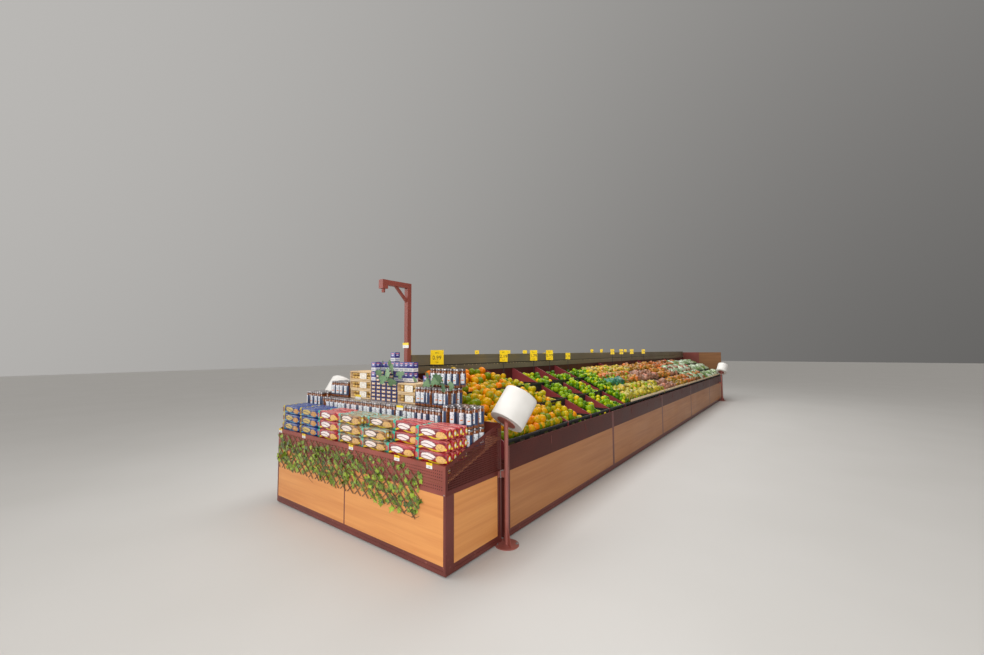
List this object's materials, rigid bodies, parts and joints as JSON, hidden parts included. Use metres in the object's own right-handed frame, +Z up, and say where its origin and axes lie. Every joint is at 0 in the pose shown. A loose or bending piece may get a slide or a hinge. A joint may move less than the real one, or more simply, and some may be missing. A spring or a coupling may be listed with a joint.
{
  "type": "stocked supermarket produce display island",
  "caption": "Long double-sided produce island with stepped crates, a stocked head unit, bag-roll stands and a scale post.",
  "frame": {"origin": "on the floor, under the middle of the island's box", "axes": "+X across the island to the right-hand aisle, +Y along the island away from the head unit, +Z up"},
  "size_m": [2.9392, 13.1014, 2.283],
  "materials": {
    "maroon_paint": "satin powder coat",
    "wood_panel": "satin wood-grain laminate",
    "foot_plastic": "matte",
    "ridge_steel": "brushed",
    "black_plastic": "matte",
    "bag_film": "soft sheen",
    "card": "gloss",
    "willow": "rough",
    "packet_film": "gloss",
    "jar_glass": "gloss",
    "tray_wood": "raw softwood",
    "tin_print": "gloss",
    "orange_peel": "waxy",
    "lime_peel": "waxy",
    "net_bag": "waxy",
    "mesh_sack": "rough",
    "wrapped_greens": "gloss"
  },
  "bodies": {
    "root": {"levelling_feet": "foot_plastic", "head_base": "maroon_paint", "head_skirting": "maroon_paint", "head_corner_profiles": "maroon_paint", "head_front_panels": "wood_panel", "head_joint_strip": "maroon_paint", "head_side_panels": "wood_panel", "head_back_panel": "maroon_paint", "head_front_band": "maroon_paint", "head_cheek_right": "maroon_paint", "head_cheek_left": "maroon_paint", "head_deck": "wood_panel", "run_base": "maroon_paint", "run_end_board": "maroon_paint", "run_skirting": "maroon_paint", "run_posts": "maroon_paint", "run_panels": "wood_panel", "run_bands": "maroon_paint", "run_crossbars": "maroon_paint", "tier_shelves": "maroon_paint", "tier_rack_right": "maroon_paint", "tier_rack_left": "maroon_paint", "spine_wall": "maroon_paint", "divider_boards": "maroon_paint", "ridge_lower_band": "ridge_steel", "ridge_seam": "black_plastic", "ridge_upper_band": "ridge_steel", "far_gable_boards": "wood_panel", "far_gable_middle": "maroon_paint", "crates_front_tier": "black_plastic", "crates_middle_tier": "black_plastic", "crates_top_tier": "black_plastic", "scale_post": "maroon_paint", "roll_stands": "maroon_paint", "card_stems": "black_plastic", "price_cards": "card", "shelf_labels": "card", "ivy_trellis": "willow", "snack_packets": "packet_film", "jar_tier_low": "jar_glass", "jar_tier_ends": "jar_glass", "jar_tier_middle": "jar_glass", "jar_tier_top": "jar_glass", "wood_trays": "tray_wood", "small_tins": "tin_print", "tin_stack": "tin_print", "orange_heaps": "orange_peel", "mandarin_heaps": "orange_peel", "green_orange_heaps": "lime_peel", "lime_heaps": "lime_peel", "bagged_citrus": "net_bag", "mesh_sacks": "mesh_sack", "packed_greens": "wrapped_greens"},
    "bag_roll_right_near": {"bag_roll_right_near": "bag_film"},
    "bag_roll_right_far": {"bag_roll_right_far": "bag_film"},
    "bag_roll_left_near": {"bag_roll_left_near": "bag_film"},
    "bag_roll_left_far": {"bag_roll_left_far": "bag_film"}
  },
  "joints": [
    {"name": "roll_right_near_spin", "type": "hinge", "parent": "root", "child": "bag_roll_right_near", "pos_m": [1.277, -5.88235, 0.982], "axis": [0.1629, 0.6079, 0.7771], "continuous": true},
    {"name": "roll_right_far_spin", "type": "hinge", "parent": "root", "child": "bag_roll_right_far", "pos_m": [1.277, 5.87065, 0.887], "axis": [0.1629, 0.6079, 0.7771], "continuous": true},
    {"name": "roll_left_near_spin", "type": "hinge", "parent": "root", "child": "bag_roll_left_near", "pos_m": [-1.277, -5.88235, 0.982], "axis": [-0.1629, 0.6079, 0.7771], "continuous": true},
    {"name": "roll_left_far_spin", "type": "hinge", "parent": "root", "child": "bag_roll_left_far", "pos_m": [-1.277, 5.87065, 0.887], "axis": [-0.1629, 0.6079, 0.7771], "continuous": true}
  ]
}
